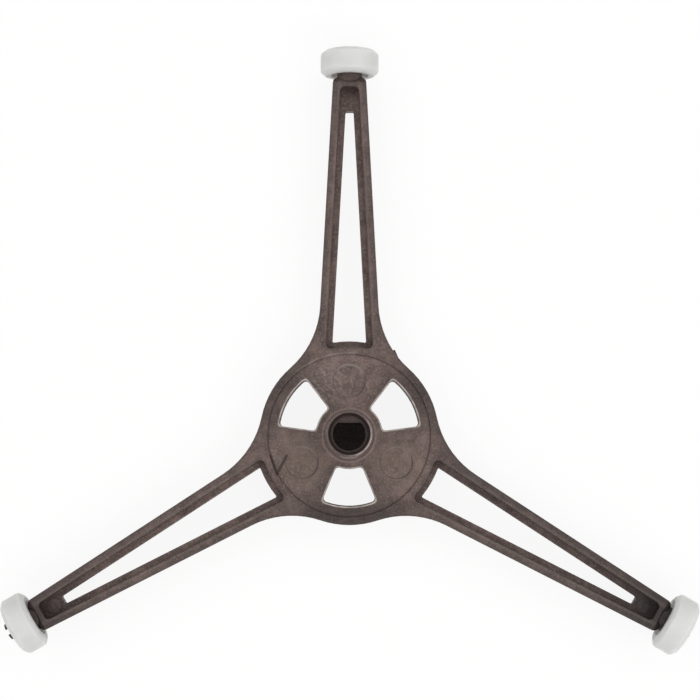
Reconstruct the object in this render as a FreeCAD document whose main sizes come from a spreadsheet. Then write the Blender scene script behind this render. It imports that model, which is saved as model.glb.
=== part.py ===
import FreeCAD, Part
import math
import os
import re
import Sketcher

# Turntable spider of a microwave oven: a moulded hub with three channel arms and three
# rollers on split snap pins. Millimetres. The origin is on the hub axis, level with the
# roller axles. +Z points out of the drive socket, and the first arm runs along +Y.

sizes = {
    # hub disc and its rim
    "disc_radius": 22.3,
    "rim_width": 2.05,
    "face_depth": 0.5,
    "web_thickness": 3.0,
    # sector windows in the disc, one between each two arms
    "hub_land": 1.5,
    "window_margin": 2.75,
    "window_half_angle": 22.4,
    "window_corner": 1.0,
    # marks that the ejector pins left on the disc
    "mark_radius": 4.0,
    "mark_depth": 0.2,
    # socket, from its D-shaped key hole outwards to the round bore, the lead-in and the tube
    "key_radius": 4.0,
    "key_flat_depth": 1.2,
    "key_step": 0.5,
    "bore_length": 2.0,
    "lead_in_flare": 0.6,
    "lead_in_depth": 2.0,
    "socket_floor": 2.5,
    "lip_width": 0.6,
    "tube_draft": 0.45,
    "tube_height": 15.0,
    "tube_fillet": 0.75,
    # arms, from the slot outwards to the ledges and the rails
    "arm_length": 90.4,
    "arm_height": 7.0,
    "slot_end_width": 2.05,
    "arm_side_taper": 3.12,
    "ledge_width": 1.55,
    "ledge_thickness": 3.2,
    "rail_width": 2.0,
    "root_radius": 22.3,
    "root_wall": 1.9,
    "end_web_length": 5.5,
    "end_wall": 2.7,
    "end_land": 1.2,
    "end_corner": 1.8,
    "channel_corner": 1.2,
    "slot_corner": 0.35,
    "edge_radius": 0.35,
    # stub left on a flared root where the moulding was cut from its gate
    "gate_length": 3.0,
    "gate_rise": 0.65,
    "gate_height": 3.0,
    "gate_swing": 12.8,
    # snap pins
    "pin_radius": 1.95,
    "pin_clearance": 0.07,
    "pin_end_play": 1.05,
    "pin_slot_width": 1.35,
    "pin_slot_root": 0.8,
    "shoulder_radius": 3.2,
    "shoulder_length": 1.4,
    "barb_overlap": 0.33,
    "barb_land": 1.4,
    "barb_length": 2.1,
    "barb_tip_drop": 0.3,
    # rollers
    "roller_radius": 7.35,
    "roller_width": 6.4,
    "roller_edge_drop": 1.25,
    "roller_edge_run": 1.0,
    "roller_rounding": 0.8,
    "recess_clearance": 1.5,
    "recess_depth": 1.75,
    "seat_gap": 0.1,
}

arm_count = 3

doc = FreeCAD.newDocument("roller_spider")
sheet = doc.addObject("Spreadsheet::Sheet", "Sizes")
for row, (alias, size) in enumerate(sizes.items(), start=1):
    sheet.set(f"A{row}", alias)
    sheet.set(f"B{row}", str(size))
    sheet.setAlias(f"B{row}", alias)
doc.recompute()

# levels and lengths that several features share
rail_top = "(arm_height / 2)"
rail_bottom = "(-arm_height / 2)"
disc_face = f"({rail_top} - face_depth)"
disc_back = f"({disc_face} - web_thickness)"
disc_inner_radius = "(disc_radius - rim_width)"
bore_radius = "(key_radius + key_step)"
lead_in_radius = f"({bore_radius} + lead_in_flare)"
tube_end_radius = f"({lead_in_radius} + lip_width)"
tube_root_radius = f"({tube_end_radius} + tube_draft)"
tube_foot_radius = f"({tube_root_radius} + tube_fillet)"
tube_top = f"({disc_face} + tube_height)"
bore_top = f"({tube_top} - lead_in_depth)"
key_top = f"({bore_top} - bore_length)"
key_length = f"({key_top} - {disc_back} - socket_floor)"
window_inner_radius = f"({tube_foot_radius} + hub_land)"
window_outer_radius = f"({disc_inner_radius} - window_margin)"
channel_start = f"({disc_inner_radius} + root_wall)"
channel_end = "(arm_length - end_wall)"
slot_start = f"({channel_start} + ledge_width)"
slot_end = f"({channel_end} - end_web_length)"
end_slope = "(end_wall - end_land)"
shoulder_end = "(arm_length + shoulder_length)"
roller_web = "(roller_width - 2 * recess_depth)"
recess_radius = "(shoulder_radius + recess_clearance)"
roller_bore_radius = "(pin_radius + pin_clearance)"
roller_seat = f"({shoulder_end} - recess_depth)"
barb_start = f"({shoulder_end} + {roller_web} + pin_end_play)"
barb_radius = f"({roller_bore_radius} + barb_overlap)"
pin_end = f"({barb_start} + barb_length)"


# an expression over the sheet's cells, from words that each hold an underscore
def bound(text):
    return re.sub(r"\b[a-z]+(_[a-z]+)+\b", r"Sizes.\g<0>", text)


def number(text):
    return float(sheet.evalExpression(bound(text)))


# half the width of an arm at a distance from the hub axis, less an inset from its side
def arm_half_width(along, inset="0"):
    slant = "arm_side_taper * 1 deg"
    slot_half = f"slot_end_width / 2 + ({slot_end} - {along}) * tan({slant})"
    return f"({slot_half} + (rail_width + ledge_width - ({inset})) / cos({slant}))"


def new_sketch(body, name, plane, lift="0"):
    sketch = body.newObject("Sketcher::SketchObject", name)
    support = next(item for item in body.Origin.OriginFeatures if item.Role == plane)
    sketch.AttachmentSupport = [(support, "")]
    sketch.MapMode = "FlatFace"
    sketch.setExpression("AttachmentOffset.Base.z", bound(lift))
    return sketch


def drive(sketch, kind, where, text):
    index = sketch.addConstraint(Sketcher.Constraint(kind, *where, number(text)))
    sketch.setExpression(f"Constraints[{index}]", bound(text))


def drive_point(sketch, geometry, position, x, y):
    drive(sketch, "DistanceX", (-1, 1, geometry, position), x)
    drive(sketch, "DistanceY", (-1, 1, geometry, position), y)


def polygon(body, name, plane, corners, lift="0"):
    sketch = new_sketch(body, name, plane, lift)
    points = [FreeCAD.Vector(number(x), number(y), 0) for x, y in corners]
    for start, end in zip(points, points[1:] + points[:1]):
        sketch.addGeometry(Part.LineSegment(start, end), False)
    for index, (x, y) in enumerate(corners):
        before = (index - 1) % len(corners)
        sketch.addConstraint(Sketcher.Constraint("Coincident", before, 2, index, 1))
        drive_point(sketch, index, 1, x, y)
    return sketch


def circle(body, name, radius, x="0", y="0", lift="0"):
    sketch = new_sketch(body, name, "XY_Plane", lift)
    centre = FreeCAD.Vector(number(x), number(y), 0)
    sketch.addGeometry(Part.Circle(centre, FreeCAD.Vector(0, 0, 1), number(radius)), False)
    drive_point(sketch, 0, 3, x, y)
    drive(sketch, "Radius", (0,), radius)
    return sketch


# opening along an arm, with its inner end on a circle around the hub
def arm_opening(body, name, start, end, inset):
    sketch = new_sketch(body, name, "XY_Plane", rail_top)
    slope = "tan(arm_side_taper * 1 deg)"
    base = arm_half_width("0", inset)
    root = f"sqrt({start} ^ 2 * (1 + {slope} ^ 2) - {base} ^ 2)"
    start_half = f"({base} - {slope} * ({base} * {slope} + {root}) / (1 + {slope} ^ 2))"
    end_half = arm_half_width(end, inset)
    bearing = math.acos(number(f"{start_half} / {start}"))
    full = Part.Circle(FreeCAD.Vector(0, 0, 0), FreeCAD.Vector(0, 0, 1), number(start))
    arc = Part.ArcOfCircle(full, bearing, math.pi - bearing)
    right = FreeCAD.Vector(number(end_half), number(end), 0)
    left = FreeCAD.Vector(-right.x, right.y, 0)
    sides = [Part.LineSegment(arc.StartPoint, right), Part.LineSegment(right, left),
             Part.LineSegment(left, arc.EndPoint)]
    for shape in [arc] + sides:
        sketch.addGeometry(shape, False)
    for joint in ((0, 1, 1, 1), (1, 2, 2, 1), (2, 2, 3, 1), (3, 2, 0, 2), (0, 3, -1, 1)):
        sketch.addConstraint(Sketcher.Constraint("Coincident", *joint))
    drive(sketch, "Radius", (0,), start)
    drive(sketch, "DistanceX", (-1, 1, 0, 1), start_half)
    drive(sketch, "DistanceX", (-1, 1, 0, 2), f"-{start_half}")
    drive_point(sketch, 2, 1, end_half, end)
    drive_point(sketch, 2, 2, f"-{end_half}", end)
    return sketch


def finish_feature(body, feature):
    doc.recompute()
    body.Tip = feature
    return feature


def pad(body, name, sketch, length, symmetric=False):
    feature = body.newObject("PartDesign::Pad", name)
    feature.Profile = sketch
    feature.SideType = "Symmetric" if symmetric else "One side"
    feature.setExpression("Length", bound(length))
    return finish_feature(body, feature)


def pocket(body, name, sketch, depth, upward=False, symmetric=False):
    feature = body.newObject("PartDesign::Pocket", name)
    feature.Profile = sketch
    feature.Reversed = upward
    feature.SideType = "Symmetric" if symmetric else "One side"
    feature.setExpression("Length", bound(depth))
    return finish_feature(body, feature)


def turn(body, kind, name, sketch, axis):
    feature = body.newObject(kind, name)
    feature.Profile = sketch
    feature.ReferenceAxis = (sketch, [axis])
    feature.Angle = 360
    return finish_feature(body, feature)


def around_hub(body, name, originals):
    feature = body.newObject("PartDesign::PolarPattern", name)
    feature.Originals = originals
    hub_axis = next(item for item in body.Origin.OriginFeatures if item.Role == "Z_Axis")
    feature.Axis = (hub_axis, [""])
    feature.Angle = 360
    feature.Occurrences = arm_count
    return finish_feature(body, feature)


# rounds the edges of the body's tip that pass a test
def round_edges(body, name, radius, test):
    base = body.Tip
    edges = [f"Edge{index}" for index, edge in enumerate(base.Shape.Edges, start=1) if test(edge)]
    feature = body.newObject("PartDesign::Fillet", name)
    feature.Base = (base, edges)
    feature.setExpression("Radius", bound(radius))
    return finish_feature(body, feature)


def near(first, second):
    return abs(first - second) < 1e-4


def upright(edge):
    ends = edge.Vertexes
    return len(ends) == 2 and near(ends[0].X, ends[1].X) and near(ends[0].Y, ends[1].Y)


def level_at(edge, height):
    box = edge.BoundBox
    return near(box.ZMin, height) and near(box.ZMax, height)


def hub_distance(edge):
    middle = edge.valueAt((edge.FirstParameter + edge.LastParameter) / 2)
    return math.hypot(middle.x, middle.y)


# an edge's middle as a distance along the nearest arm and a distance from its axis
def arm_place(edge):
    middle = edge.valueAt((edge.FirstParameter + edge.LastParameter) / 2)
    pitch = 2 * math.pi / arm_count
    bearing = math.atan2(-middle.x, middle.y)
    offset = bearing - pitch * round(bearing / pitch)
    reach = math.hypot(middle.x, middle.y)
    return reach * math.cos(offset), reach * math.sin(abs(offset))


def within_arm(edge, start, end, inset):
    along, across = arm_place(edge)
    slack = 0.01
    half = number(arm_half_width(str(along), inset)) + slack
    outside = math.hypot(along, across) > number(start) - slack
    return outside and along < number(end) + slack and across < half


def in_channel(edge):
    return within_arm(edge, channel_start, channel_end, "rail_width")


def in_slot(edge):
    return within_arm(edge, slot_start, slot_end, "rail_width + ledge_width")


# sector between two arms, opposite the first one
def window_sector(body):
    sketch = new_sketch(body, "window_outline", "XY_Plane", disc_face)
    half = math.radians(number("window_half_angle"))
    start, end = 1.5 * math.pi - half, 1.5 * math.pi + half
    arcs = []
    radii = (window_outer_radius, window_inner_radius)
    for radius in radii:
        full = Part.Circle(FreeCAD.Vector(0, 0, 0), FreeCAD.Vector(0, 0, 1), number(radius))
        arcs.append(Part.ArcOfCircle(full, start, end))
    outer, inner = arcs
    sides = [Part.LineSegment(inner.StartPoint, outer.StartPoint),
             Part.LineSegment(inner.EndPoint, outer.EndPoint)]
    for shape in arcs + sides:
        sketch.addGeometry(shape, False)
    for arc, radius in enumerate(radii):
        sketch.addConstraint(Sketcher.Constraint("Coincident", arc, 3, -1, 1))
        drive(sketch, "Radius", (arc,), radius)
    half_width = f"{window_outer_radius} * sin(window_half_angle * 1 deg)"
    for line, end_point, sign in ((2, 1, "-"), (3, 2, "")):
        sketch.addConstraint(Sketcher.Constraint("Coincident", line, 2, 0, end_point))
        sketch.addConstraint(Sketcher.Constraint("Coincident", line, 1, 1, end_point))
        sketch.addConstraint(Sketcher.Constraint("PointOnObject", -1, 1, line))
        drive(sketch, "DistanceX", (-1, 1, 0, end_point), sign + half_width)
    return sketch


# round hole with a flat on the side of the first arm
def key_outline(body):
    sketch = new_sketch(body, "key_outline", "XY_Plane", key_top)
    half = math.acos(1 - number("key_flat_depth / key_radius"))
    full = Part.Circle(FreeCAD.Vector(0, 0, 0), FreeCAD.Vector(0, 0, 1), number("key_radius"))
    arc = Part.ArcOfCircle(full, math.pi / 2 + half, 2.5 * math.pi - half)
    sketch.addGeometry(arc, False)
    sketch.addGeometry(Part.LineSegment(arc.EndPoint, arc.StartPoint), False)
    sketch.addConstraint(Sketcher.Constraint("Coincident", 0, 3, -1, 1))
    sketch.addConstraint(Sketcher.Constraint("Coincident", 0, 2, 1, 1))
    sketch.addConstraint(Sketcher.Constraint("Coincident", 0, 1, 1, 2))
    sketch.addConstraint(Sketcher.Constraint("Horizontal", 1))
    drive(sketch, "Radius", (0,), "key_radius")
    drive(sketch, "DistanceY", (-1, 1, 1, 1), "key_radius - key_flat_depth")
    return sketch


def make_spider():
    body = doc.addObject("PartDesign::Body", "spider")
    top = number(rail_top)
    bottom = number(rail_bottom)
    face = number(disc_face)

    # plan of the moulding: disc, arms, flared roots and rounded arm ends
    pad(body, "disc", circle(body, "disc_outline", "disc_radius"), "arm_height", symmetric=True)
    root_half, tip_half = arm_half_width("0"), arm_half_width("arm_length")
    arm_corners = [(f"-{root_half}", "0"), (root_half, "0"),
                   (tip_half, "arm_length"), (f"-{tip_half}", "arm_length")]
    arm_outline = polygon(body, "arm_outline", "XY_Plane", arm_corners)
    arm = pad(body, "arm", arm_outline, "arm_height", symmetric=True)
    around_hub(body, "arms", [arm])
    root_limit = number("disc_radius") + 0.01
    round_edges(body, "flared_roots", "root_radius",
                lambda edge: upright(edge) and hub_distance(edge) < root_limit)
    round_edges(body, "end_corners", "end_corner",
                lambda edge: upright(edge) and hub_distance(edge) > number("arm_length"))
    round_edges(body, "outer_edges", "edge_radius",
                lambda edge: level_at(edge, top) or level_at(edge, bottom))

    # one arm's sloped end, channel, slot and snap pin, then the other arms'
    slopes = []
    for side, level, inward in (("upper", rail_top, "-"), ("lower", rail_bottom, "+")):
        slope_corners = [
            (f"arm_length - {end_slope}", level),
            ("arm_length", f"{level} {inward} {end_slope}"),
            (f"arm_length + {end_slope}", f"{level} {inward} {end_slope}"),
            (f"arm_length + {end_slope}", level),
        ]
        slope_outline = polygon(body, f"{side}_slope_outline", "YZ_Plane", slope_corners)
        slopes.append(pocket(body, f"{side}_slope", slope_outline, f"4 * {tip_half}", symmetric=True))
    channel_outline = arm_opening(body, "channel_outline", channel_start, channel_end, "rail_width")
    channel = pocket(body, "channel", channel_outline, "arm_height - ledge_thickness")
    slot_outline = arm_opening(body, "slot_outline", slot_start, slot_end, "rail_width + ledge_width")
    slot = pocket(body, "slot", slot_outline, "arm_height")
    pin_corners = [
        ("arm_length - 0.75 * end_wall", "0"),
        ("arm_length - 0.75 * end_wall", "shoulder_radius"),
        (shoulder_end, "shoulder_radius"),
        (shoulder_end, "pin_radius"),
        (barb_start, "pin_radius"),
        (barb_start, barb_radius),
        (f"{barb_start} + barb_land", barb_radius),
        (pin_end, f"{barb_radius} - barb_tip_drop"),
        (pin_end, "0"),
    ]
    pin = turn(body, "PartDesign::Revolution", "snap_pin",
               polygon(body, "pin_profile", "YZ_Plane", pin_corners), "H_Axis")
    split_start = f"({shoulder_end} + pin_slot_root)"
    split_corners = [
        ("-pin_slot_width / 2", split_start),
        ("pin_slot_width / 2", split_start),
        ("pin_slot_width / 2", pin_end),
        ("-pin_slot_width / 2", pin_end),
    ]
    split = pocket(body, "pin_split", polygon(body, "split_outline", "XY_Plane", split_corners),
                   "arm_height", symmetric=True)
    around_hub(body, "arm_details", slopes + [channel, slot, pin, split])
    channel_floor = number(f"{rail_bottom} + ledge_thickness")
    round_edges(body, "channel_corners", "channel_corner",
                lambda edge: upright(edge) and near(edge.BoundBox.ZMin, channel_floor)
                and near(edge.BoundBox.ZMax, top))
    round_edges(body, "slot_corners", "min(slot_corner; slot_end_width * 0.4)",
                lambda edge: upright(edge) and near(edge.BoundBox.ZMin, bottom)
                and near(edge.BoundBox.ZMax, channel_floor))
    round_edges(body, "rail_edges", "min(edge_radius; end_land * 0.7)",
                lambda edge: level_at(edge, top) and in_channel(edge))
    round_edges(body, "ledge_edges", "edge_radius",
                lambda edge: level_at(edge, channel_floor) and in_slot(edge))

    # disc thinned from both sides to a web inside its rim
    front_outline = circle(body, "front_outline", disc_inner_radius, lift=rail_top)
    pocket(body, "disc_front", front_outline, "face_depth")
    rear_outline = circle(body, "rear_outline", disc_inner_radius, lift=rail_bottom)
    pocket(body, "disc_rear", rear_outline, f"{disc_back} - {rail_bottom}", upward=True)
    round_edges(body, "rim_edge", "min(edge_radius; face_depth * 0.6)",
                lambda edge: level_at(edge, top) and near(hub_distance(edge), number(disc_inner_radius)))

    # windows and ejector marks
    window = pocket(body, "window", window_sector(body), "web_thickness")
    mark_circle_radius = f"({tube_foot_radius} + {disc_inner_radius}) / 2"
    mark_outline = circle(body, "mark_outline", "mark_radius", "0", mark_circle_radius, disc_face)
    mark = pocket(body, "ejector_mark", mark_outline, "mark_depth")
    around_hub(body, "disc_details", [window, mark])
    round_edges(body, "window_corners", "window_corner",
                lambda edge: upright(edge) and near(edge.BoundBox.ZMax, face)
                and near(edge.BoundBox.ZMin, number(disc_back)))
    window_limits = number(window_inner_radius) - 0.01, number(window_outer_radius) + 0.01
    round_edges(body, "window_edges", "edge_radius",
                lambda edge: level_at(edge, face) and not edge.Closed
                and window_limits[0] < hub_distance(edge) < window_limits[1])

    # socket tube, with its lead-in, bore and key hole
    tube_corners = [
        ("0", disc_back),
        (tube_root_radius, disc_back),
        (tube_root_radius, disc_face),
        (tube_end_radius, tube_top),
        ("0", tube_top),
    ]
    tube_profile = polygon(body, "tube_profile", "XZ_Plane", tube_corners)
    turn(body, "PartDesign::Revolution", "socket_tube", tube_profile, "V_Axis")
    round_edges(body, "tube_foot", "tube_fillet",
                lambda edge: level_at(edge, face) and near(hub_distance(edge), number(tube_root_radius)))
    socket_corners = [
        ("0", tube_top),
        (lead_in_radius, tube_top),
        (bore_radius, bore_top),
        (bore_radius, key_top),
        ("0", key_top),
    ]
    socket_profile = polygon(body, "socket_profile", "XZ_Plane", socket_corners)
    turn(body, "PartDesign::Groove", "socket_bore", socket_profile, "V_Axis")
    pocket(body, "key_hole", key_outline(body), key_length)
    round_edges(body, "tube_lip", "lip_width * 0.45", lambda edge: level_at(edge, number(tube_top)))

    # stub of the gate, on the arc that flares the first arm's root
    flare_offset = f"({arm_half_width('0')} * cos(arm_side_taper * 1 deg) + root_radius)"
    flare_reach = "(disc_radius + root_radius)"
    flare_bearing = f"(asin({flare_offset} / {flare_reach}) - arm_side_taper * 1 deg)"
    gate_bearing = f"({flare_bearing} + gate_swing * 1 deg)"
    gate_corners = []
    for shift, rise in (("-0.5", "-1"), ("0.5", "-1"), ("0.48", "0.15"), ("-0.28", "0.9")):
        from_centre = f"(root_radius - {rise} * gate_rise)"
        gate_corners.append((
            f"{flare_reach} * sin({flare_bearing}) - {from_centre} * sin({gate_bearing})"
            f" + {shift} * gate_length * cos({gate_bearing})",
            f"{flare_reach} * cos({flare_bearing}) - {from_centre} * cos({gate_bearing})"
            f" - {shift} * gate_length * sin({gate_bearing})",
        ))
    gate_outline = polygon(body, "gate_outline", "XY_Plane", gate_corners)
    pad(body, "gate_stub", gate_outline, "gate_height", symmetric=True)
    return body


def make_roller(name, angle, slid):
    body = doc.addObject("PartDesign::Body", name)
    inner_web = "recess_depth"
    outer_web = "roller_width - recess_depth"
    corners = [
        (inner_web, roller_bore_radius),
        (outer_web, roller_bore_radius),
        (outer_web, recess_radius),
        ("roller_width", recess_radius),
        ("roller_width", "roller_radius - roller_edge_drop"),
        ("roller_width - roller_edge_run", "roller_radius"),
        ("roller_edge_run", "roller_radius"),
        ("0", "roller_radius - roller_edge_drop"),
        ("0", recess_radius),
        (inner_web, recess_radius),
    ]
    profile = polygon(body, f"{name}_profile", "YZ_Plane", corners)
    turn(body, "PartDesign::Revolution", f"{name}_wheel", profile, "H_Axis")
    rim_limit = number("roller_radius - roller_edge_drop") - 0.01
    round_edges(body, f"{name}_edges", "roller_rounding",
                lambda edge: edge.Closed and edge.Curve.Radius > rim_limit)
    body.Placement.Rotation = FreeCAD.Rotation(FreeCAD.Vector(0, 0, 1), angle)
    along = f"({roller_seat} + {slid})"
    body.setExpression("Placement.Base.x", bound(f"-{along} * sin({angle} deg)"))
    body.setExpression("Placement.Base.y", bound(f"{along} * cos({angle} deg)"))
    return body


# how far each roller has slid out from its shoulder within its end play
roller_floats = {
    "roller_rear": "(pin_end_play - seat_gap)",
    "roller_left": "seat_gap",
    "roller_right": "0.6 * pin_end_play",
}
pieces = [make_spider()]
for index, (name, slid) in enumerate(roller_floats.items()):
    pieces.append(make_roller(name, index * 360 / arm_count, slid))
doc.recompute()

for item in doc.Objects:
    if "Invalid" in item.State or "Error" in item.State:
        raise RuntimeError(f"{item.Label} did not compute")
for piece in pieces:
    if piece.Shape.isNull() or not piece.Shape.isValid():
        raise RuntimeError(f"{piece.Label} has no valid shape")

os.makedirs("parts", exist_ok=True)
for piece in pieces:
    piece.Shape.exportStep(f"parts/{piece.Label}.step")
    print(f"{piece.Label}: {piece.Shape.Volume:.1f} mm3, {len(piece.Shape.Solids)} solid")
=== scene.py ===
import math
from functools import partial

import bmesh
import bpy
from mathutils import Matrix, Vector


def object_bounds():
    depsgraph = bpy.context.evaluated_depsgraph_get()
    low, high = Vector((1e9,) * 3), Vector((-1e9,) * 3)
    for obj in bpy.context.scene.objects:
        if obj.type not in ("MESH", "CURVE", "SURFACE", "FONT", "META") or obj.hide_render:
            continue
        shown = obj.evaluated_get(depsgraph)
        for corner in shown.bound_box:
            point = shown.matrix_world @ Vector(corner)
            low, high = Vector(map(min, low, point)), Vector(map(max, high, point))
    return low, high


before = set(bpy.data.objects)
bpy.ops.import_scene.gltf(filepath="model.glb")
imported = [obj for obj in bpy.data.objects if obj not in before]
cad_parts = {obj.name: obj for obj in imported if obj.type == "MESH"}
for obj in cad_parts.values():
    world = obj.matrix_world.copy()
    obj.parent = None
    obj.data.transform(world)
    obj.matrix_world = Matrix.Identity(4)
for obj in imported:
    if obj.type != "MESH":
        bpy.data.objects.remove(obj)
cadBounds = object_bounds()
mm = 0.001
armTurn = 2 * math.pi / 3  # from one arm to the next
print("frame loaded:", ", ".join(sorted(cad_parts)))

# settings that many nodes share
softStep = {"interpolation_type": "SMOOTHSTEP"}
times = {"operation": "MULTIPLY"}
inColour = {"data_type": "RGBA"}
asShade = {"data_type": "RGBA", "blend_type": "MULTIPLY"}


def linear(hexColour):
    # sRGB hex to the linear values that the sockets take
    channels = [int(hexColour[i:i + 2], 16) / 255 for i in (1, 3, 5)]
    return tuple(c / 12.92 if c <= 0.04045 else ((c + 0.055) / 1.055) ** 2.4
                 for c in channels) + (1.0,)


def addNode(tree, kind, *values, **settings):
    # values fill the open inputs in order; a setting with a capital names an input, the
    # others are the node's own; a node given as a value links its first open output
    node = tree.nodes.new("ShaderNode" + kind)
    for name, value in settings.items():
        if name[0].islower():
            setattr(node, name, value)
    fed = list(zip([socket for socket in node.inputs if socket.enabled], values))
    fed += [(node.inputs[name.replace("_", " ")], value)
            for name, value in settings.items() if name[0].isupper()]
    for socket, value in fed:
        if isinstance(value, bpy.types.Node):
            value = next(output for output in value.outputs if output.enabled)
        if isinstance(value, bpy.types.NodeSocket):
            tree.links.new(value, socket)
        else:
            socket.default_value = value
    return node


def newMaterial(name):
    # an empty material, and the function that adds nodes to it
    material = bpy.data.materials.new(name)
    material.use_nodes = True
    material.node_tree.nodes.clear()
    return material, partial(addNode, material.node_tree)


def mottling(add, place, look):
    # uneven patches of a real size, fading from one strength to another
    patches = add("TexNoise", place, 1 / look["size"], look["detail"], look["rough"])
    return add("MapRange", patches, *look["span"], *look["strength"], **softStep)


def lineAt(add, value, middle, span, share=1.0):
    # a soft line where a value passes its middle; the span is half its width, out and in
    off = add("Math", add("Math", value, middle, operation="SUBTRACT"), operation="ABSOLUTE")
    return add("MapRange", off, *span, 0.0, share, **softStep)


def bandOf(add, value, rising, falling):
    # a soft band, from where it rises to where it has fallen
    return add("Math", add("MapRange", value, *rising, **softStep),
               add("MapRange", value, *falling, **softStep), **times)


def towards(add, offset, side, size):
    # how far an offset leans to a side, 1 where it points straight at it
    lean = add("VectorMath", offset, side, operation="DOT_PRODUCT")
    return add("Math", lean, size, operation="DIVIDE")


def strokeDistance(add, point, start, end):
    # how far a point lies from a straight stroke
    run = tuple(b - a for a, b in zip(start, end))
    span = sum(step * step for step in run)
    fromStart = add("VectorMath", point, start, operation="SUBTRACT")
    share = add("Clamp", towards(add, fromStart, run, span))
    nearest = add("VectorMath", run, share, operation="SCALE")
    return add("VectorMath", fromStart, nearest, operation="DISTANCE")


# studio floor: pale and plain, white to the camera, and it keeps a soft shadow
floorLook = {
    "colour": "#fafaf8",
    "white": "#ffffff",
    "whiteStrength": 1.0,
    "whiteShare": 0.88,
    "size": 6.0,
    "gap": 0.02 * mm,
}


def makeFloor(look):
    lowest = cadBounds[0][2] - look["gap"]
    bm = bmesh.new()
    bmesh.ops.create_grid(bm, x_segments=1, y_segments=1, size=look["size"] / 2,
                          matrix=Matrix.Translation((0, 0, lowest)))
    mesh = bpy.data.meshes.new("studioFloor")
    bm.to_mesh(mesh)
    bm.free()
    floor = bpy.data.objects.new("studioFloor", mesh)
    bpy.context.scene.collection.objects.link(floor)
    material, add = newMaterial("matte studio paper")
    paper = add("BsdfDiffuse", linear(look["colour"]))
    white = add("Emission", linear(look["white"]), look["whiteStrength"])
    path = add("LightPath").outputs
    seen = add("Math", path["Is Camera Ray"], path["Is Glossy Ray"], operation="MAXIMUM")
    seen = add("Math", seen, path["Is Transmission Ray"], operation="MAXIMUM")
    share = add("Math", seen, look["whiteShare"], **times)
    add("OutputMaterial", add("MixShader", share, paper, white))
    mesh.materials.append(material)


makeFloor(floorLook)
print("floor laid")


# ring of soft light around a dim ceiling, so deep holes stay dark, and one soft box at the
# right; the ring's spans are heights of the sky, 0 level and 1 overhead
lightLook = {
    "colour": "#ffffff",
    "dim": 0.22,
    "bright": 1.42,
    "ringFrom": (0.3, 0.6),
    "ringTo": (0.97, 0.86),
    "boxes": {
        "softBoxRight": {"place": (0.6, -0.55, 0.75), "size": 0.5, "watts": 1.3},
    },
}


def makeLights(look):
    world = bpy.data.worlds.new("paleRoom")
    bpy.context.scene.world = world
    world.use_nodes = True
    world.node_tree.nodes.clear()
    add = partial(addNode, world.node_tree)
    height = add("SeparateXYZ", add("TexCoord").outputs["Generated"]).outputs["Z"]
    ring = bandOf(add, height, look["ringFrom"], look["ringTo"])
    level = add("Math", ring, look["bright"] - look["dim"], look["dim"],
                operation="MULTIPLY_ADD")
    add("OutputWorld", add("Background", linear(look["colour"]), level))
    for name, box in look["boxes"].items():
        light = bpy.data.lights.new(name, "AREA")
        light.size = box["size"]
        light.energy = box["watts"]
        lamp = bpy.data.objects.new(name, light)
        lamp.location = box["place"]
        lamp.rotation_euler = (-lamp.location).to_track_quat("-Z", "Y").to_euler()
        bpy.context.scene.collection.objects.link(lamp)


makeLights(lightLook)
bpy.context.scene.view_settings.view_transform = "Standard"
print("lights set")


# high above the hub, looking down, with the rear arm up the picture
cameraLook = {
    "place": (0.01 * mm, -11.53 * mm, 500.0 * mm),
    "target": (0.18 * mm, 21.47 * mm, 0.0),
    "roll": math.radians(-0.06),
    "lens": 102.62,
    "sensor": 36.0,
    "nearest": 0.01,
}


def makeCamera(look):
    data = bpy.data.cameras.new("camera")
    data.lens = look["lens"]
    data.sensor_width = look["sensor"]
    data.clip_start = look["nearest"]
    camera = bpy.data.objects.new("camera", data)
    place, target = Vector(look["place"]), Vector(look["target"])
    back = (place - target).normalized()
    up = Vector((math.sin(look["roll"]), math.cos(look["roll"]), 0.0))
    right = up.cross(back).normalized()
    up = back.cross(right)
    camera.matrix_world = Matrix((right, up, back)).transposed().to_4x4()
    camera.location = place
    bpy.context.scene.collection.objects.link(camera)
    bpy.context.scene.camera = camera


makeCamera(cameraLook)
print("camera placed")


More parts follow.
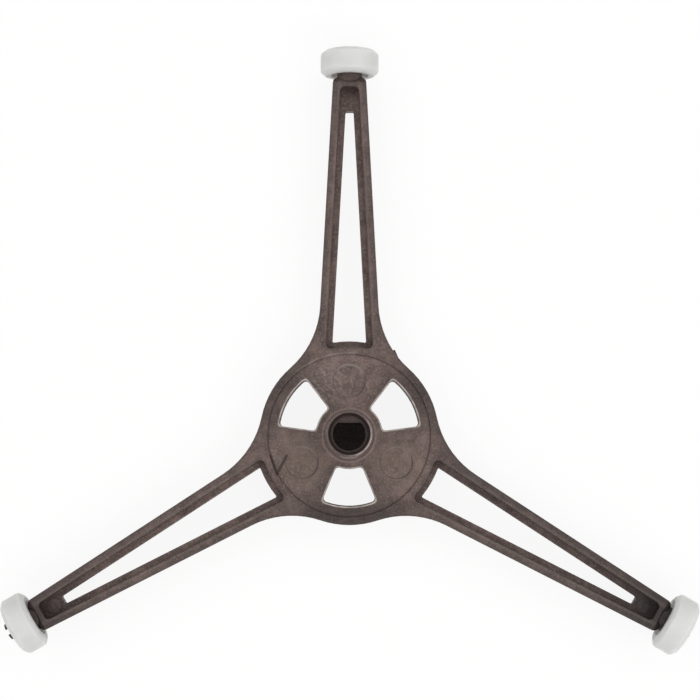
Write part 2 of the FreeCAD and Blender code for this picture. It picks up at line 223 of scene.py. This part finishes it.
# glass-filled polyester, moulded: dull brown, mottled by the melt's flow, scuffed in use, with
# painted shade and painted highlights
# lengths are in millimetres; a span runs from where a thing starts to where it is full, and
# a strength says what it comes to at those two ends
spiderLook = {
    "colours": {
        "brown": "#584642",
        "paleBrown": "#6e5a54",
        "oliveBrown": "#65584b",
        "darkBrown": "#392e2c",
        "soot": "#24150f",
        # pale colour for wear, and for painted highlights
        "wornAndHighlight": "#8a7c75",
        "markHighlight": "#9f938c",
        "shine": "#b9afa8",
    },
    "ior": 1.5,
    "roughness": {"size": 3.0, "detail": 4.0, "rough": 0.5,
                  "span": (0.3, 0.7), "strength": (0.44, 0.56)},
    "bump": {"grit": 0.4, "flow": 1.0, "flowShare": 0.6, "detail": 2.0,
             "strength": 0.2, "depth": 0.05},
    # heights of the top faces, and reaches where the hub ends and the arms begin
    "topFrom": (2.4, 2.7),
    "hubTo": (7.0, 9.0),
    "armFrom": (22.0, 28.0),
    # mottling, and how much of it upright walls keep
    "wall": {"span": (0.3, 0.8), "strength": (0.35, 1.0)},
    "blotch": {"size": 6.0, "detail": 4.0, "rough": 0.6, "even": 0.5,
               "span": (0.32, 0.68), "strength": (0.0, 1.0)},
    "cloud": {"size": 2.2, "detail": 3.0, "rough": 0.6, "even": 1.0,
              "span": (0.33, 0.7), "strength": (0.77, 1.28)},
    "grain": {"size": 0.5, "detail": 2.0, "rough": 0.5,
              "span": (0.46, 0.72), "strength": (0.0, 0.6)},
    "streak": {"width": 0.8, "length": 14.0, "shift": 9.0, "size": 1.0, "detail": 3.0,
               "rough": 0.6, "span": (0.3, 0.7), "strength": (0.88, 1.14)},
    # tones of the disc, painted shade at its front, and painted shade and painted light on the
    # arms
    "lobes": {"count": 3, "span": (-1.0, 0.8), "strength": (0.47, 1.0)},
    "rim": {"span": (20.0, 20.5), "strength": (1.0, 0.86)},
    "frontShade": {"span": (-20.5, -11.5), "strength": (0.63, 1.0)},
    "arms": {"from": (21.0, 27.0), "span": (68.0, 88.0),
             "rear": (0.68, 0.63), "left": (0.66, 0.32), "right": (0.53, 0.17)},
    "rightAcrossShade": {"span": (-5.0, 5.0), "strength": (0.84, 1.1)},
    "ledge": {"span": (0.4, 1.6), "strength": (1.5, 1.0)},
    "pinSpot": {"along": 84.8, "radius": 1.85, "fill": (1.85, 1.45), "pale": 0.25,
                "line": (0.5, 0.1), "dark": 0.25},
    # ejector marks: rear, right and left
    "marks": {
        "reach": 13.6,
        "radius": 4.0,
        "fill": (4.6, 2.8),
        "halo": (8.8, 4.0),
        "line": (0.35, 0.1),
        # painted highlight on one side of each outline, and painted shade on another
        "pale": {"side": (0.1, 1.0, 0.0), "span": (0.2, 0.95), "strength": (0.2, 0.9)},
        "dark": {"side": (0.88, -0.47, 0.0), "span": (0.5, 0.95), "strength": (0.0, 0.5)},
        "each": (
            {"olive": 0.12, "halo": 0.0, "tint": "markHighlight"},
            {"olive": 0.35, "halo": 0.3, "tint": "wornAndHighlight"},
            {"olive": 0.35, "halo": 0.4, "tint": "wornAndHighlight"},
        ),
    },
    # scuffs, each swirl with its centre and the pitch of its hairs
    "scuff": {
        "place": (-5.5, 12.5, 0.0),
        "span": (8.0, 2.4),
        "strength": (0.1, 1.0),
        "swirls": (((-15.0, 5.0, 0.0), 1.2), ((4.0, 23.0, 0.0), 1.5),
                   ((-9.0, 21.0, 0.0), 0.9)),
        "curl": {"Distortion": 3.5, "Detail": 2.0, "Detail_Scale": 0.8},
        "crest": (0.72, 0.97),
        "dip": (0.3, 0.05),
        "hair": 0.5,
        "trough": 0.18,
        "broken": {"size": 1.6, "detail": 2.0, "rough": 0.5,
                   "span": (0.45, 0.62), "strength": (0.0, 1.0)},
        "haze": {"size": 1.2, "detail": 3.0, "rough": 0.6,
                 "span": (0.4, 0.7), "strength": (0.0, 0.36)},
    },
    # strokes, each from its start to its end
    "strokes": (
        {"tint": "soot", "span": (0.5, 0.2), "share": 0.78,
         "runs": (((-19.6, -5.0, 0.0), (-17.9, -9.6, 0.0)),
                  ((-15.6, -5.2, 0.0), (-17.9, -9.6, 0.0)))},
        {"tint": "wornAndHighlight", "span": (0.28, 0.112), "share": 0.45,
         "runs": (((0.5, 13.8, 0.0), (0.9, 12.1, 0.0)),
                  ((4.0, 13.5, 0.0), (4.8, 11.7, 0.0)))},
    ),
    # the socket, from its foot to its lip
    # painted highlight on the fillet at the tube's foot
    "footHighlight": {"inner": (6.2, 6.45), "outer": (7.1, 6.85), "share": 0.35},
    # painted shade in the socket's throat
    "socketShade": {"wall": (5.12, 5.0), "floor": (3.2, 4.0),
               "span": (14.2, 15.4), "strength": (0.75, 0.3)},
    "tube": {"inner": (5.0, 5.15), "outer": (6.4, 6.2), "foot": (3.4, 4.4), "tone": 1.22},
    "lip": {"middle": 5.4, "line": (0.32, 0.08), "height": (17.3, 17.7),
            "side": (0.92, -0.38, 0.0), "span": (0.2, 0.9), "strength": (0.1, 0.8),
            "broken": {"size": 1.5, "detail": 2.0, "rough": 0.5,
                       "span": (0.35, 0.6), "strength": (0.6, 1.0)}},
    # edges and corners; the painted shade on an outward edge is weaker low down
    "edge": {"depth": 0.9, "samples": 8, "span": (0.96, 0.6), "strength": (0.0, 0.7),
             "height": (0.5, 2.0), "heightStrength": (0.35, 1.0)},
    "railEdge": {"endReach": 82.2, "endHalf": 4.58, "taper": math.tan(math.radians(3.12)),
                 "inset": 1.75, "line": (0.7, 0.25), "height": (2.9, 3.2), "share": 0.13},
    "rimEdge": {"reach": 20.45, "line": (0.5, 0.15),
                "side": (-0.28, 0.96, 0.0), "span": (0.88, 0.99),
                "broken": {"size": 3.0, "detail": 2.0, "rough": 0.5,
                           "span": (0.4, 0.6), "strength": (0.25, 0.6)}},
    "window": {"half": math.radians(22.4), "inner": 8.35, "outer": 17.74, "corner": 1.75,
               "lineFrom": (-0.1, 0.08), "lineTo": (0.46, 0.16),
               "broken": {"size": 2.5, "detail": 3.0, "rough": 0.5,
                          "span": (0.35, 0.6), "strength": (0.5, 1.0)}},
    "corner": {"depth": 1.0, "samples": 8, "span": (0.85, 0.35), "strength": (0.0, 0.8),
               "armFrom": (22.0, 24.0), "armShare": 0.5, "markShare": 0.2},
}


def brownPolyester(look):
    material, add = newMaterial("moulded brown polyester")
    colours = {name: linear(value) for name, value in look["colours"].items()}
    place = add("TexCoord").outputs
    point = add("VectorMath", place["Object"], 1 / mm, operation="SCALE")
    x, y, z = add("SeparateXYZ", point).outputs
    flat = add("CombineXYZ", x, y)
    # the place as a distance along the nearest arm and a distance across it
    reach = add("VectorMath", flat, operation="LENGTH")
    bearing = add("Math", x, y, operation="ARCTAN2")
    fold = add("Math", bearing, armTurn / 2, -armTurn / 2, operation="WRAP")
    along = add("Math", reach, add("Math", fold, operation="COSINE"), **times)
    across = add("Math", reach, add("Math", fold, operation="SINE"), **times)
    # 0 on the rear arm, 1 on the right one and -1 on the left one
    armNumber = add("Math", add("Math", bearing, armTurn, operation="DIVIDE"),
                    operation="ROUND")
    isRight = add("Math", armNumber, 0.5, operation="GREATER_THAN")
    isLeft = add("Math", armNumber, -0.5, operation="LESS_THAN")
    onTop = add("MapRange", z, *look["topFrom"], **softStep)
    onArm = add("MapRange", reach, *look["armFrom"], **softStep)

    # blotches and clouds of the filled plastic; upright walls came off the mould more even
    wall, blotch, cloud = look["wall"], look["blotch"], look["cloud"]
    facingUp = add("SeparateXYZ", place["Normal"]).outputs["Z"]
    uneven = add("MapRange", facingUp, *wall["span"], *wall["strength"], **softStep)
    blotches = add("Mix", uneven, blotch["even"], mottling(add, point, blotch))
    colour = add("Mix", blotches, colours["brown"], colours["paleBrown"], **inColour)
    clouds = add("Mix", uneven, cloud["even"], mottling(add, point, cloud))
    colour = add("Mix", 1.0, colour, clouds, **asShade)
    # pale grain of the glass fibres, drawn coarser than they are so that it shows
    grain = add("Math", mottling(add, point, look["grain"]), uneven, **times)
    colour = add("Mix", grain, colour, colours["wornAndHighlight"], **inColour)
    # long flow streaks down the arms
    streak = look["streak"]
    flow = add("CombineXYZ", add("Math", across, streak["width"], operation="DIVIDE"),
               add("Math", along, streak["length"], operation="DIVIDE"),
               add("Math", armNumber, streak["shift"], **times))
    colour = add("Mix", onArm, colour, mottling(add, flow, streak), **asShade)

    # the disc pales towards the arms and darkens beside the windows and at its rim; its front
    # is darkened by painted shade, where the light falls off
    lobes, rim, frontShade = look["lobes"], look["rim"], look["frontShade"]
    discTone = add("Math", add("Math", fold, lobes["count"], **times), operation="COSINE")
    discTone = add("MapRange", discTone, *lobes["span"], *lobes["strength"])
    rimTone = add("MapRange", reach, *rim["span"], *rim["strength"], **softStep)
    discTone = add("Math", discTone, rimTone, **times)
    frontShadeTone = add("MapRange", y, *frontShade["span"], *frontShade["strength"], **softStep)
    discTone = add("Math", discTone, frontShadeTone, **times)
    # painted shade: the arms darken towards their ends, each by its own amount, and the right
    # one across its width; the channel's floor is made paler as painted light
    arms, lean, ledge = look["arms"], look["rightAcrossShade"], look["ledge"]
    rearShade, leftShade, rightShade = (
        add("MapRange", along, *arms["span"], *arms[name], **softStep)
        for name in ("rear", "left", "right"))
    acrossShade = add("MapRange", across, *lean["span"], *lean["strength"], **softStep)
    rightShade = add("Math", rightShade, acrossShade, **times)
    armTone = add("Mix", isLeft, rearShade, leftShade)
    armTone = add("Mix", isRight, armTone, rightShade)
    ledgeTone = add("MapRange", z, *ledge["span"], *ledge["strength"], **softStep)
    armTone = add("Math", armTone, ledgeTone, **times)
    # an ejector pin left a faint round spot in it near the ends of the left and right arms
    pin = look["pinSpot"]
    fromPin = add("CombineXYZ", across, add("Math", along, pin["along"], operation="SUBTRACT"))
    fromPin = add("VectorMath", fromPin, operation="LENGTH")
    spot = add("MapRange", fromPin, *pin["fill"], 0.0, pin["pale"], **softStep)
    spotLine = lineAt(add, fromPin, pin["radius"], pin["line"], pin["dark"])
    spot = add("Math", spot, spotLine, operation="SUBTRACT")
    inFloor = add("MapRange", z, *ledge["span"], 1.0, 0.0, **softStep)
    inFloor = add("Math", inFloor, add("Math", isLeft, isRight, operation="ADD"), **times)
    spotTone = add("Math", spot, inFloor, 1.0, operation="MULTIPLY_ADD")
    armTone = add("Math", armTone, spotTone, **times)
    # the disc's tones and the arms' painted shade and light together, with none at the hub
    pastDisc = add("MapRange", reach, *arms["from"], **softStep)
    pastHub = add("MapRange", reach, *look["hubTo"], **softStep)
    tone = add("Mix", pastHub, 1.0, add("Mix", pastDisc, discTone, armTone))
    colour = add("Mix", 1.0, colour, tone, **asShade)

    # ejector marks: olive inside; each outline has a painted highlight on one side and painted
    # shade on another
    marks = look["marks"]
    markLine = 0.0
    for number, mark in enumerate(marks["each"]):
        turn = number * armTurn
        centre = (marks["reach"] * math.sin(turn), marks["reach"] * math.cos(turn), 0.0)
        fromMark = add("VectorMath", flat, centre, operation="SUBTRACT")
        distance = add("VectorMath", fromMark, operation="LENGTH")
        fill = add("MapRange", distance, *marks["fill"], 0.0, mark["olive"], **softStep)
        halo = add("MapRange", distance, *marks["halo"], 0.0, mark["halo"], **softStep)
        olive = add("Math", add("Math", fill, halo, operation="MAXIMUM"), onTop, **times)
        colour = add("Mix", olive, colour, colours["oliveBrown"], **inColour)
        outline = lineAt(add, distance, marks["radius"], marks["line"])
        outline = add("Math", outline, onTop, **times)
        markLine = add("Math", markLine, outline, operation="MAXIMUM")
        # a painted highlight on one side of the outline and painted shade on another
        for part, tint in (("pale", mark["tint"]), ("dark", "darkBrown")):
            share = towards(add, fromMark, marks[part]["side"], marks["radius"])
            share = add("MapRange", share, *marks[part]["span"], *marks[part]["strength"],
                        **softStep)
            share = add("Math", outline, share, **times)
            colour = add("Mix", share, colour, colours[tint], **inColour)

    # hairline scuffs that curl beside the rear mark, in a pale haze
    scuff = look["scuff"]
    hair = trough = 0.0
    for centre, pitch in scuff["swirls"]:
        # the wave's rings stand a tenth of pi apart at a scale of 1
        wave = add("TexWave", add("VectorMath", flat, centre, operation="SUBTRACT"),
                   0.1 * math.pi / pitch, wave_type="RINGS", rings_direction="Z",
                   **scuff["curl"]).outputs["Fac"]
        elsewhere = add("VectorMath", flat, centre, operation="ADD")
        broken = mottling(add, elsewhere, scuff["broken"])
        crest = add("MapRange", wave, *scuff["crest"], **softStep)
        crest = add("Math", crest, broken, **times)
        hair = add("Math", hair, crest, operation="MAXIMUM")
        dip = add("MapRange", wave, *scuff["dip"], **softStep)
        dip = add("Math", dip, broken, **times)
        trough = add("Math", trough, dip, operation="MAXIMUM")
    patch = add("VectorMath", flat, scuff["place"], operation="DISTANCE")
    patch = add("MapRange", patch, *scuff["span"], *scuff["strength"], **softStep)
    patch = add("Math", patch, onTop, **times)
    trough = add("Math", add("Math", trough, patch, **times), scuff["trough"], **times)
    colour = add("Mix", trough, colour, colours["darkBrown"], **inColour)
    scuffed = add("Math", hair, scuff["hair"], mottling(add, point, scuff["haze"]),
                  operation="MULTIPLY_ADD")
    scuffed = add("Math", scuffed, patch, **times)
    colour = add("Mix", scuffed, colour, colours["wornAndHighlight"], **inColour)
    # two dark strokes that meet, and two pale scratches
    for stroke in look["strokes"]:
        for start, end in stroke["runs"]:
            share = strokeDistance(add, flat, start, end)
            share = add("MapRange", share, *stroke["span"], 0.0, stroke["share"], **softStep)
            share = add("Math", share, onTop, **times)
            colour = add("Mix", share, colour, colours[stroke["tint"]], **inColour)

    # painted highlight: a pale ring on the fillet around the tube's foot, where it catches the
    # light
    foot = look["footHighlight"]
    footHighlight = add("Math", bandOf(add, reach, foot["inner"], foot["outer"]), onTop, **times)
    footHighlight = add("Math", footHighlight, foot["share"], **times)
    colour = add("Mix", footHighlight, colour, colours["wornAndHighlight"], **inColour)
    # painted shade darkens the socket's throat, most in its upper part
    socketShade = look["socketShade"]
    inSocket = add("Math", add("MapRange", reach, *socketShade["wall"], **softStep),
                   add("MapRange", z, *socketShade["floor"], **softStep), **times)
    shadedThroat = add("MapRange", z, *socketShade["span"], *socketShade["strength"], **softStep)
    colour = add("Mix", inSocket, colour, shadedThroat, **asShade)
    # the tube's outside and its lip are made paler, and a painted glint lies on the lip,
    # brightest on the side towards the soft box at the right
    tube, lip = look["tube"], look["lip"]
    onTube = add("Math", bandOf(add, reach, tube["inner"], tube["outer"]),
                 add("MapRange", z, *tube["foot"], **softStep), **times)
    tubeTone = add("MapRange", onTube, 0.0, 1.0, 1.0, tube["tone"], **softStep)
    colour = add("Mix", 1.0, colour, tubeTone, **asShade)
    onLip = add("Math", lineAt(add, reach, lip["middle"], lip["line"]),
                add("MapRange", z, *lip["height"], **softStep), **times)
    glint = towards(add, flat, lip["side"], reach)
    glint = add("MapRange", glint, *lip["span"], *lip["strength"], **softStep)
    glint = add("Math", onLip, glint, **times)
    glint = add("Math", glint, mottling(add, point, lip["broken"]), **times)
    colour = add("Mix", glint, colour, colours["shine"], **inColour)

    # painted highlights: pale lines on the rails' inner edges and along a part of the rim's
    # edge, where the light catches them
    rail, rimEdge = look["railEdge"], look["rimEdge"]
    half = add("Math", rail["endReach"], along, operation="SUBTRACT")
    half = add("Math", half, rail["taper"], rail["endHalf"], operation="MULTIPLY_ADD")
    inset = add("Math", half, add("Math", across, operation="ABSOLUTE"), operation="SUBTRACT")
    railLine = add("Math", lineAt(add, inset, rail["inset"], rail["line"]),
                   add("MapRange", z, *rail["height"], **softStep), **times)
    railLine = add("Math", railLine, onArm, **times)
    rimLine = lineAt(add, reach, rimEdge["reach"], rimEdge["line"])
    rimLine = add("Math", rimLine, onTop, **times)
    rimHighlight = towards(add, flat, rimEdge["side"], reach)
    rimHighlight = add("MapRange", rimHighlight, *rimEdge["span"], **softStep)
    rimHighlight = add("Math", rimLine, rimHighlight, **times)
    rimHighlight = add("Math", rimHighlight, mottling(add, point, rimEdge["broken"]), **times)
    # the windows' rounded edges catch the light in a thin broken line
    window = look["window"]
    offSide = add("Math", armTurn / 2 - window["half"],
                  add("Math", fold, operation="ABSOLUTE"), operation="SUBTRACT")
    offSide = add("Math", reach, add("Math", offSide, operation="SINE"), **times)
    offArc = add("Math", add("Math", reach, window["outer"], operation="SUBTRACT"),
                 add("Math", window["inner"], reach, operation="SUBTRACT"),
                 operation="MAXIMUM")
    offWindow = add("Math", offSide, offArc, window["corner"], operation="SMOOTH_MAX")
    windowLine = bandOf(add, offWindow, window["lineFrom"], window["lineTo"])
    windowLine = add("Math", windowLine, onTop, **times)
    # painted shade darkens the other outward edges
    edge = look["edge"]
    inside = add("AmbientOcclusion", Distance=edge["depth"] * mm, inside=True,
                 only_local=True, samples=edge["samples"]).outputs["AO"]
    shadedEdge = add("MapRange", inside, *edge["span"], *edge["strength"], **softStep)
    lowEdge = add("MapRange", z, *edge["height"], *edge["heightStrength"], **softStep)
    shadedEdge = add("Math", shadedEdge, lowEdge, **times)
    paleLines = add("Math", add("Math", windowLine, glint, operation="MAXIMUM"),
                    add("Math", railLine, rimLine, operation="MAXIMUM"), operation="MAXIMUM")
    shadedEdge = add("Math", shadedEdge, add("Math", 1.0, paleLines, operation="SUBTRACT"), **times)
    colour = add("Mix", shadedEdge, colour, colours["darkBrown"], **inColour)
    # painted highlight along the rails' inner edges
    railHighlight = add("Math", railLine, rail["share"], **times)
    colour = add("Mix", railHighlight, colour, colours["wornAndHighlight"], **inColour)
    # painted shade and dirt darken inward corners, less of it on the arms and in the marks'
    # outlines
    corner = look["corner"]
    outside = add("AmbientOcclusion", Distance=corner["depth"] * mm, only_local=True,
                  samples=corner["samples"]).outputs["AO"]
    dirtAndShade = add("MapRange", outside, *corner["span"], *corner["strength"], **softStep)
    dirtAndShade = add("Math", dirtAndShade, add("Math", 1.0, rimHighlight, operation="SUBTRACT"), **times)
    armShare = add("MapRange", reach, *corner["armFrom"], 1.0, corner["armShare"], **softStep)
    dirtAndShade = add("Math", dirtAndShade, armShare, **times)
    markShare = add("MapRange", markLine, 0.0, 1.0, 1.0, corner["markShare"], **softStep)
    dirtAndShade = add("Math", dirtAndShade, markShare, **times)
    colour = add("Mix", dirtAndShade, colour, colours["darkBrown"], **inColour)
    # painted highlight along a part of the rim's edge
    colour = add("Mix", rimHighlight, colour, colours["wornAndHighlight"], **inColour)
    windowLine = add("Math", windowLine, mottling(add, point, window["broken"]), **times)
    colour = add("Mix", windowLine, colour, colours["shine"], **inColour)

    # the mould's texture, drawn coarser than it is, and the flow lines
    bump = look["bump"]
    grit = add("TexNoise", point, 1 / bump["grit"], bump["detail"])
    flowLines = add("TexNoise", flow, 1 / bump["flow"], bump["detail"])
    height = add("Math", flowLines, bump["flowShare"], grit, operation="MULTIPLY_ADD")
    normal = add("Bump", Strength=bump["strength"], Distance=bump["depth"] * mm, Height=height)
    shader = add("BsdfPrincipled", Base_Color=colour, IOR=look["ior"], Normal=normal,
                 Roughness=mottling(add, point, look["roughness"]))
    add("OutputMaterial", shader)
    return material


# acetal, smooth from a polished mould: pale, even, and milky where light soaks in
rollerLook = {
    "white": "#d7d7d6",
    "shade": "#d2d2d0",
    "cloud": {"size": 5.0, "detail": 3.0, "rough": 0.5,
              "span": (0.35, 0.75), "strength": (0.0, 1.0)},
    "ior": 1.48,
    "roughness": {"size": 2.0, "detail": 3.0, "rough": 0.5,
                  "span": (0.3, 0.7), "strength": (0.45, 0.57)},
    "bump": {"grit": 0.5, "detail": 2.0, "strength": 0.1, "depth": 0.04},
    "milk": 1.0,
    "soak": 4.0,
    "soakColours": (1.0, 1.0, 0.95),
}


def whiteAcetal(look):
    material, add = newMaterial("moulded white acetal")
    point = add("VectorMath", add("TexCoord").outputs["Object"], 1 / mm, operation="SCALE")
    colour = add("Mix", mottling(add, point, look["cloud"]),
                 linear(look["white"]), linear(look["shade"]), **inColour)
    bump = look["bump"]
    grit = add("TexNoise", point, 1 / bump["grit"], bump["detail"])
    normal = add("Bump", Strength=bump["strength"], Distance=bump["depth"] * mm, Height=grit)
    shader = add("BsdfPrincipled", Base_Color=colour, IOR=look["ior"], Normal=normal,
                 Roughness=mottling(add, point, look["roughness"]),
                 Subsurface_Weight=look["milk"], Subsurface_Radius=look["soakColours"],
                 Subsurface_Scale=look["soak"] * mm)
    add("OutputMaterial", shader)
    return material


brown = brownPolyester(spiderLook)
white = whiteAcetal(rollerLook)
for name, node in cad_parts.items():
    node.data.materials.clear()
    node.data.materials.append(brown if name == "spider" else white)
print("materials assigned")
